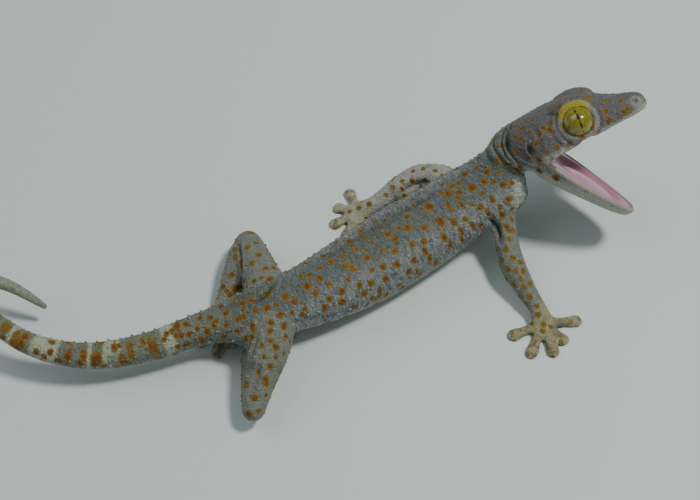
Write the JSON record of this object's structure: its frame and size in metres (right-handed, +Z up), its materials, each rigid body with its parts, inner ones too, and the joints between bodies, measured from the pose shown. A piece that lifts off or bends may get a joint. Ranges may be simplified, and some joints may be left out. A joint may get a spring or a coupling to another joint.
{
  "type": "tokay gecko",
  "caption": "Life-size still model of a tokay gecko lying on its belly with the head raised, the mouth open and the tail curled.",
  "frame": {"origin": "middle of the footprint, on the floor that the belly and the hands rest on", "axes": "+X from the tail towards the head along the trunk, +Y to the animal's left, +Z up"},
  "size_m": [0.2014, 0.1068, 0.0468],
  "materials": {
    "skin": "blue-grey granular skin with rust-orange spots, slightly satin",
    "tail_skin": "grey skin with rings of small pointed tubercles and rust-orange bands",
    "limb_skin": "grey-green granular skin with mustard spots",
    "foot_skin": "cream-yellow skin with broad ridged toe pads",
    "eye": "wet olive-yellow eye with an upright slit pupil",
    "mouth": "moist pink tongue"
  },
  "bodies": {
    "root": {"head": "skin", "lower_jaw": "skin", "tongue": "mouth", "eye_left": "eye", "eye_right": "eye", "neck": "skin", "torso": "skin", "tail_base": "tail_skin", "tail_middle": "tail_skin", "tail_curl": "tail_skin", "tail_tip": "tail_skin", "arm_upper_left": "limb_skin", "forearm_left": "limb_skin", "hand_left": "foot_skin", "arm_upper_right": "limb_skin", "forearm_right": "limb_skin", "hand_right": "foot_skin", "thigh_left": "limb_skin", "shin_left": "limb_skin", "foot_left": "foot_skin", "thigh_right": "limb_skin", "shin_right": "limb_skin", "foot_right": "foot_skin"}
  },
  "joints": []
}
